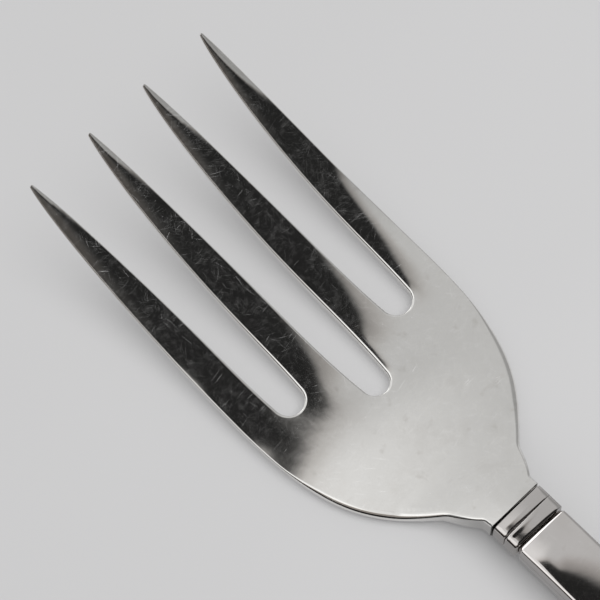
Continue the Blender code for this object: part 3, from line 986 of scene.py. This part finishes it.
def joint_shade_mask(where, back):
    """Mask of the painted shade at a joint of the neck: a dark band, wider on the left."""
    along = where.dot((0, 1, 0)) - (CAD_HIGH.y - back) / MM
    reach = JOINT_SHADE_REACH - where.dot((JOINT_SHADE_WIDENS, 0, 0))
    return (along.math('ABSOLUTE', along) - reach).fall(*JOINT_SHADE_EDGE)


def silver_wear(where, shift):
    """Masks of each kind of wear on the silver."""
    cloud = where.mapped((shift, 0, 0)).noise(*CLOUD)
    gouged = where.curled(*DEEP_CURL).mapped(scale=(DEEP_STRETCH,) * 3)
    return {
        "cloud": cloud,
        "stain": cloud.step(*STAIN_EDGE),
        "grain": where.noise(*GRAIN),
        "dull": where.mapped((0, shift, 0)).noise(*DULL).step(*DULL_EDGE),
        "smear": where.mapped((shift, shift, 0)).noise(*SMEAR).step(*SMEAR_EDGE),
        "fine": hairlines(where.curled(*FINE_CURL), shift, FINE_SPARSE),
        "deep": hairlines(gouged, shift + DEEP_SHIFT, DEEP_SPARSE),
        "dents": pits(where, shift, *DENTS),
        "specks": pits(where, shift + SPECK_SHIFT, *SPECKS),
        "joint_shade": joint_shade_mask(where, NECK_END),
    }


def worn_silver(name, finish, clean, shift, wear):
    """Hand-polished silver with hairline scratches, small pits and faint dull patches."""
    made, shader, where = new_finish(name, finish.polish)
    masks = silver_wear(where, shift + finish.seed)
    metal = blend(masks, TARNISHED).within(0, 1).mix(opaque(clean), opaque(finish.tarnish))
    scuffed = (blend(masks, SCUFFED) * wear).within(0, 1).mix(metal, opaque(finish.scratch))
    # The joint's mask paints a near-black band of shade at the neck's first joint
    masks["joint_shade"].mix(scuffed, opaque(finish.joint_shade)).feed(shader.inputs["Base Color"])
    rough = blend(masks, ROUGHENED) + (finish.polish - ROUGHENED_MEAN)
    rough.within(*ROUGHNESS_LIMITS).feed(shader.inputs["Roughness"])
    (1 - blend(masks, SCATTERED) * wear).within(0, 1).feed(shader.inputs["Metallic"])
    blend(masks, MICRONS).bump(MICRON).feed(shader.inputs["Normal"])
    return made


# Cement, in the same way
CEMENT_ROUGHNESS = 0.82
GRIT = (2.2, 4.0)
GRIT_EDGE = (0.3, 0.75)
GRIT_ROUGHNESS = 0.15
PORES = (0.5, 0.35)
CEMENT_SHADE = 0.55
CEMENT_TONE = 0.5
CEMENT_TONES = {"pale": -0.5, "pores": 0.4}
CEMENT_HEIGHTS = {"grit": 0.08, "pores": -0.2}


def cast_cement(name, finish):
    """Gritty cement with pores."""
    made, shader, where = new_finish(name, CEMENT_ROUGHNESS)
    grit = where.noise(*GRIT)
    masks = {"grit": grit, "pale": grit.step(*GRIT_EDGE), "pores": pits(where, 0.0, *PORES)}
    tone = (blend(masks, CEMENT_TONES) + CEMENT_TONE).within(0, 1)
    tone.mix(opaque(finish.cement), darkened(finish.cement, CEMENT_SHADE)).feed(shader.inputs["Base Color"])
    (CEMENT_ROUGHNESS + grit * GRIT_ROUGHNESS).feed(shader.inputs["Roughness"])
    blend(masks, CEMENT_HEIGHTS).bump(MM).feed(shader.inputs["Normal"])
    return made


# Table. Places along the fork are in millimetres from the middle of its length.
TABLE_ROUGHNESS = 0.7
TABLE_GRAIN = (0.5, 2.0)
TABLE_GRAIN_ROUGHNESS = 0.1
TABLE_CLOUD = (0.01, 2.0)
TABLE_CLOUD_EDGE = (0.3, 0.7)
TABLE_SHADE = 0.97
TABLE_SHEEN = 0.1
# Painted shade: in the metal's reflections the table by the neck and the handle is shown darker
NECK_REFLECTED_SHADE_EDGE = (24, 34)
NECK_REFLECTED_SHADE = 0.5
NECK_REFLECTED_SHADE_SHARE = 0.5
# Painted light: shares of the table's glow that lift its shadows, least by the neck and most by the tips
NECK_PAINTED_GLOW = 0.25
NECK_PAINTED_GLOW_EDGE = (30, 50)
TIP_PAINTED_GLOW = 0.8
TIP_PAINTED_GLOW_EDGE = (85, 108)


def smooth_table(name, stage):
    """Plain pale table whose shadows are lifted by a painted glow, least by the neck and most by the tips."""
    made, shader, where = new_finish(name, TABLE_ROUGHNESS)
    shade = where.noise(*TABLE_CLOUD).step(*TABLE_CLOUD_EDGE)
    shade.mix(opaque(stage.table), darkened(stage.table, TABLE_SHADE)).feed(shader.inputs["Base Color"])
    rough = TABLE_ROUGHNESS + where.noise(*TABLE_GRAIN) * TABLE_GRAIN_ROUGHNESS
    rough.feed(shader.inputs["Roughness"])
    shader.inputs["Specular IOR Level"].default_value = TABLE_SHEEN
    seen, mirrored = where.ray("Is Camera Ray"), where.ray("Is Glossy Ray")
    along = where.dot((0, 1, 0))
    # Painted shade: mirrored rays see the table by the neck and the handle as a glow at half its colour
    under = mirrored * along.fall(*NECK_REFLECTED_SHADE_EDGE)
    light = under.mix(opaque(stage.table), darkened(stage.table, NECK_REFLECTED_SHADE))
    glow = seen.node("ShaderNodeEmission", {}, {"Color": light, "Strength": 1.0})
    # Painted light: the table glows in its own colour, for the camera and in the metal, to lift its shadows
    lifted = NECK_PAINTED_GLOW + (1 - NECK_PAINTED_GLOW) * along.step(*NECK_PAINTED_GLOW_EDGE) + TIP_PAINTED_GLOW * along.step(*TIP_PAINTED_GLOW_EDGE)
    share = (seen * lifted + mirrored) * stage.shadow_fill + under * NECK_REFLECTED_SHADE_SHARE
    both = seen.node("ShaderNodeMixShader", {}, {0: share, 2: glow})
    made.node_tree.links.new(shader.outputs[0], both.socket.node.inputs[1])
    both.feed(made.node_tree.nodes["Material Output"].inputs["Surface"])
    return made


# Operators

# Wear of the pieces, and shifts that keep their patterns apart
HEAD_WEAR = 1.0
STEM_WEAR = 0.3
HEAD_SHIFT = 0.0
RING_SHIFT = 40.0
HANDLE_SHIFT = 80.0


def stem_shape(scene):
    """Shape of the stem, and of the head in front of it, from the scene's settings."""
    return StemShape(HeadShape(scene.fork_head_sizes), scene.fork_stem_sizes)


class FORK_OT_head(bpy.types.Operator):
    """Builds the bowl, the tines, the neck and the tang as one forging"""
    bl_idname = "fork.build_head"
    bl_label = "Fork head"

    def execute(self, context):
        scene = context.scene
        stem = stem_shape(scene)
        size = stem.size
        look = scene.fork_finish
        finish = worn_silver("head_silver", look, look.silver, HEAD_SHIFT, HEAD_WEAR)
        head = add_piece("fork_head", head_mesh(stem.head), finish)
        backs = [size.tang_start + (size.tang_end - size.tang_start) * step / TANG_STEPS
                 for step in range(TANG_STEPS + 1)]
        tang = make_object("tang", loft([stem.tang_loop(back, 0) for back in backs], False))
        join(head, tang)
        return {'FINISHED'}


def join(piece, added):
    """Unites a shape with a piece and removes the loose shape."""
    union = piece.modifiers.new("union", 'BOOLEAN')
    union.operation = 'UNION'
    union.object = added
    evaluated = piece.evaluated_get(bpy.context.evaluated_depsgraph_get())
    data = bpy.data.meshes.new_from_object(evaluated)
    piece.modifiers.remove(union)
    piece.data = data
    data.set_sharp_from_angle(angle=SHARP)
    bpy.data.objects.remove(added, do_unlink=True)


class FORK_OT_rings(bpy.types.Operator):
    """Builds the two reeds of the neck, which are collars on the tang"""
    bl_idname = "fork.build_rings"
    bl_label = "Neck rings"

    def execute(self, context):
        scene = context.scene
        stem = stem_shape(scene)
        look = scene.fork_finish
        # Painted shade: the rings' silver is a darker copy of the head's
        finish = worn_silver("ring_silver", look, look.rings, RING_SHIFT, STEM_WEAR)
        stretch = (JOINT_GAP - stem.size.joint) / 2
        for number, (start, end) in enumerate(RING_SPANS):
            mesh = ring_mesh(stem, number, start - stretch, end + stretch)
            add_piece(RINGS[number], mesh, finish)
        return {'FINISHED'}


def ring_mesh(stem, number, start, end):
    """One collar with round edges, a bead and a hole for the tang."""
    front, rear, deep = stem.size.front_edges[number], stem.size.rear_edges[number], stem.size.edge_depth
    rows = edge_rows(start, 1, front, min(front, deep))
    long = end - rear - start - front
    rows += [(start + front + long * step / RING_STEPS, 0.0) for step in range(1, RING_STEPS)]
    rows += reversed(edge_rows(end, -1, rear, min(rear, deep)))
    loops = [stem.ring_loop(back, inset - stem.bead(number, back - start)) for back, inset in rows]
    loops += [stem.tang_loop(end, JOINT_GAP), stem.tang_loop(start, JOINT_GAP)]
    return loft(loops, True)


class FORK_OT_handle(bpy.types.Operator):
    """Builds the two struck shells of the hollow handle"""
    bl_idname = "fork.build_handle"
    bl_label = "Handle shells"

    def execute(self, context):
        scene = context.scene
        stem = stem_shape(scene)
        look = scene.fork_finish
        # Painted shade: the handle's silver is a darker copy of the head's
        finish = worn_silver("handle_silver", look, look.handle, HANDLE_SHIFT, STEM_WEAR)
        for node, side in SHELLS.items():
            add_piece(node, shell_mesh(stem, side), finish)
        return {'FINISHED'}


def shell_mesh(stem, side):
    """One shell: an outer and an inner skin joined round the seam and the mouth."""
    wall = stem.size.wall
    shrink = (LENGTH - HANDLE_MOUTH - wall) / (LENGTH - HANDLE_MOUTH)
    mesh = bmesh.new()
    outer = []
    inner = []
    for back, left, inset in stem.stations():
        outer.append(add_loop(mesh, stem.shell_row(back, left, inset, side)))
        moved = HANDLE_MOUTH + (back - HANDLE_MOUTH) * shrink
        row = stem.shell_row(back, left, wall, side)
        inner.append(add_loop(mesh, [place(point.x, moved, point.z) for point in row]))
    for skin in (outer, inner):
        for first, second in zip(skin, skin[1:]):
            bridge(mesh, first, second, False)
        mesh.faces.new(skin[-1])
    for end in (0, -1):
        bridge(mesh, [row[end] for row in outer], [row[end] for row in inner], False)
    bridge(mesh, outer[0], inner[0], False)
    mesh.faces.new((outer[-1][0], outer[-1][-1], inner[-1][-1], inner[-1][0]))
    return mesh


class FORK_OT_core(bpy.types.Operator):
    """Gives the cement core of the handle its finish"""
    bl_idname = "fork.finish_core"
    bl_label = "Cement core"

    def execute(self, context):
        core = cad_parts["handle_filler"]
        core.data.materials.clear()
        core.data.materials.append(cast_cement("cement", context.scene.fork_finish))
        return {'FINISHED'}


class FORK_OT_stage(bpy.types.Operator):
    """Lays the pale table, sets the soft studio light and places the camera"""
    bl_idname = "fork.set_stage"
    bl_label = "Stage"

    def execute(self, context):
        stage = context.scene.fork_stage
        add_table(stage)
        add_studio(stage)
        add_key_lamp(stage)
        add_camera(stage)
        context.scene.view_settings.view_transform = 'Standard'
        return {'FINISHED'}


TABLE_HALF = 3.0
TABLE_CELLS = 8


def add_table(stage):
    """Large flat table under the fork."""
    mesh = bmesh.new()
    bmesh.ops.create_grid(mesh, x_segments=TABLE_CELLS, y_segments=TABLE_CELLS, size=TABLE_HALF)
    table = make_object("table", mesh)
    table.data.materials.append(smooth_table("table", stage))


def view_ways(stage):
    """Level directions to the viewer's right and away from the viewer."""
    cosine, sine = math.cos(stage.camera_turn), math.sin(stage.camera_turn)
    return Vector((cosine, sine, 0)), Vector((-sine, cosine, 0))


# Studio that the metal mirrors. An edge is that of a smooth step over a direction's part to the right,
# away or up. The neck's rise mirrors a path across the wall, which runs away and to the left.
NEAR_LEVEL = 0.56
NEAR_LIFT = 0.27
NEAR_LIFT_EDGE = (0.012, 0.062)
PATH_AWAY, PATH_LEFT = 0.676, 0.737
PATH_EDGE = (0.178, 0.184)
ACROSS_AWAY, ACROSS_RIGHT, ACROSS_START = 0.5457, 0.5413, 0.1472
FAR_LEVEL = 0.33
FAR_LOSS = 0.5
FAR_EDGE = (0.3, 0.85)
RIGHT_LOSS = 0.4
RIGHT_EDGE = (0.15, 0.5)
ASIDE_RIGHT_EDGE = (0.5, 0.62)
ASIDE_AWAY_EDGE = (-0.16, -0.02)
LEFT_EDGE = (0.0, 0.018)
LEFT_SHIFT = 0.02
LEFT_SHIFT_EDGE = (0.24, 0.29)
LEFT_EDGES = {(-0.5, -0.35): 0.7, (-0.9, -0.7): 0.3}
BRINK = 0.241
BRINK_HALF = 0.0055
BRINK_SHIFT = 0.024
BRINK_SHIFT_EDGE = (0.045, 0.085)
BRINK_SOFTER = 0.6
BRINK_SOFTER_EDGE = (0.06, 0.14)
DUSK_EDGE = (0.24, 0.262)
DUSK_WIDER = 0.028
DUSK_WIDER_EDGE = (0.06, 0.1)
DUSK_SHARE = 0.25
WINDOW_LEVEL = 1.2
WINDOW_LEFT_EDGE = (-0.4, -0.3)
WINDOW_AWAY_EDGE = (0.62, 0.74)
WINDOW_UP_EDGE = (0.3, 0.42)
FLASH_LEVEL = 0.3
FLASH_LEFT_EDGE = (-0.2, -0.06)
FLASH_NEAR_EDGE = (-0.5, -0.3)
FLASH_FAR_EDGE = (0.2, 0.3)
HAZE = 0.018
HAZE_NEAR = 0.055
HAZE_EDGE = (-0.25, -0.02)
LOW_LEVEL = 0.1
LOW_AWAY_EDGE = (0.1, 0.4)
LOW_UP_EDGE = (0.52, 0.66)
WARM_EDGE = (-0.3, 0.0)
WARM_DUSK = 2
PLAIN_TINT = (1.0, 1.0, 0.995, 1)
WARM_TINT = (1.0, 0.92, 0.85, 1)
WHITE = (1, 1, 1, 1)


def bright_wall(right, away):
    """Level of the wall beyond the fork: lifted on the left, darker far away and on the right."""
    path = away * PATH_AWAY - right * PATH_LEFT
    across = away * ACROSS_AWAY + right * ACROSS_RIGHT - ACROSS_START
    sideways = right + (across - right) * path.step(*PATH_EDGE)
    near = NEAR_LEVEL + NEAR_LIFT * sideways.fall(*NEAR_LIFT_EDGE)
    far = away.step(*FAR_EDGE) * (FAR_LEVEL - near * FAR_LOSS)
    return (near + far) * (1 - right.step(*RIGHT_EDGE) * RIGHT_LOSS)


def lit_part(right, away):
    """Share of the studio's light: all of it past a soft brink, far to the right and on the left."""
    aside = right.step(*ASIDE_RIGHT_EDGE) * away.step(*ASIDE_AWAY_EDGE)
    leftmost = (right - LEFT_SHIFT * away.fall(*LEFT_SHIFT_EDGE)).fall(*LEFT_EDGE)
    left = leftmost * sum(away.step(*edge) * share for edge, share in LEFT_EDGES.items())
    brink = away - BRINK_SHIFT * right.fall(*BRINK_SHIFT_EDGE)
    past = (brink - BRINK) * (1 - right.step(*BRINK_SOFTER_EDGE) * BRINK_SOFTER)
    wider = right.step(*DUSK_WIDER_EDGE)
    dusk = brink.step(DUSK_EDGE[0], DUSK_EDGE[1] + wider * DUSK_WIDER)
    share = DUSK_SHARE + wider * DUSK_SHARE
    soft = past.step(-BRINK_HALF, BRINK_HALF) * (1 - share) + dusk * share
    return soft.at_least(aside).at_least(left)


def mirrored_room(right, away, up):
    """Level and tint of the studio in the metal: bright beyond and on the left, dark overhead."""
    lit = lit_part(right, away)
    window = right.fall(*WINDOW_LEFT_EDGE) * away.step(*WINDOW_AWAY_EDGE) * up.fall(*WINDOW_UP_EDGE)
    flash = right.fall(*FLASH_LEFT_EDGE) * away.step(*FLASH_NEAR_EDGE) * away.fall(*FLASH_FAR_EDGE)
    haze = away.fall(*HAZE_EDGE) * HAZE_NEAR + HAZE
    high = away.step(*LOW_AWAY_EDGE).at_least(up.step(*LOW_UP_EDGE))
    shade = high * (1 - LOW_LEVEL) + LOW_LEVEL
    room = bright_wall(right, away) * lit + haze * (1 - lit) + flash * FLASH_LEVEL
    warm = (1 - away.step(*WARM_EDGE).at_least(lit)) + lit * (1 - lit) * WARM_DUSK
    return room * shade + window * WINDOW_LEVEL, warm.within(0, 1).mix(PLAIN_TINT, WARM_TINT)


def add_studio(stage):
    """Soft room: one that the metal mirrors, and an even one that lights and surrounds the table."""
    world = bpy.data.worlds.new("studio")
    world.use_nodes = True
    background = world.node_tree.nodes["Background"]
    way = Signal(world.node_tree).node("ShaderNodeTexCoord", {}, {}, "Generated")
    right, away = (way.dot(direction) for direction in view_ways(stage))
    level, tint = mirrored_room(right, away, way.dot((0, 0, 1)))
    mirrored, seen = way.ray("Is Glossy Ray"), way.ray("Is Camera Ray")
    mirrored.mix(seen.mix(WHITE, opaque(stage.table)), tint).feed(background.inputs["Color"])
    even = (1 - seen) * stage.dome + seen
    (level * mirrored + even * (1 - mirrored)).feed(background.inputs["Strength"])
    bpy.context.scene.world = world


KEY_WAY = (0.28, 0.08, 0.93)
KEY_DISTANCE = 0.9
KEY_SIZE = 1.0


def add_key_lamp(stage):
    """Large soft lamp overhead on the viewer's right, which the metal doesn't mirror."""
    data = bpy.data.lights.new("key_lamp", 'AREA')
    data.shape = 'DISK'
    data.size = KEY_SIZE
    data.energy = stage.key
    lamp = bpy.data.objects.new("key_lamp", data)
    right, away = view_ways(stage)
    way = (right * KEY_WAY[0] + away * KEY_WAY[1] + Vector((0, 0, KEY_WAY[2]))).normalized()
    lamp.location = way * KEY_DISTANCE + Vector((0, CAD_HIGH.y / 2, 0))
    lamp.rotation_euler = way.to_track_quat('Z', 'Y').to_euler()
    lamp.visible_camera = False
    lamp.visible_glossy = False
    bpy.context.scene.collection.objects.link(lamp)


SENSOR_WIDTH = 36


def add_camera(stage):
    """Camera at the photograph's viewing angle."""
    data = bpy.data.cameras.new("camera")
    data.sensor_width = SENSOR_WIDTH
    data.lens = stage.lens
    camera = bpy.data.objects.new("camera", data)
    camera.location = stage.camera_place
    camera.rotation_euler = (stage.camera_tilt, 0, stage.camera_turn)
    bpy.context.scene.collection.objects.link(camera)
    bpy.context.scene.camera = camera


OPERATORS = (FORK_OT_head, FORK_OT_rings, FORK_OT_handle, FORK_OT_core, FORK_OT_stage)


class FORK_PT_panel(bpy.types.Panel):
    """Buttons and settings of the fork"""
    bl_idname = "FORK_PT_panel"
    bl_label = "Cold meat fork"
    bl_space_type = 'VIEW_3D'
    bl_region_type = 'UI'
    bl_category = "Fork"

    def draw(self, context):
        for operator in OPERATORS:
            self.layout.operator(operator.bl_idname)
        for name, group in SETTINGS.items():
            column = self.layout.box().column()
            for setting in group.__annotations__:
                column.prop(getattr(context.scene, name), setting)


def register():
    """Adds the settings, the operators and the panel."""
    for kind in (*SETTINGS.values(), *OPERATORS, FORK_PT_panel):
        bpy.utils.register_class(kind)
    for name, group in SETTINGS.items():
        setattr(bpy.types.Scene, name, PointerProperty(type=group))


def unregister():
    """Removes the settings, the operators and the panel."""
    for name in SETTINGS:
        delattr(bpy.types.Scene, name)
    for kind in reversed((*SETTINGS.values(), *OPERATORS, FORK_PT_panel)):
        bpy.utils.unregister_class(kind)


def main():
    """Builds the pieces and the stage."""
    register()
    bpy.ops.fork.build_head()
    bpy.ops.fork.build_rings()
    bpy.ops.fork.build_handle()
    bpy.ops.fork.finish_core()
    bpy.ops.fork.set_stage()


if __name__ == "__main__":
    main()
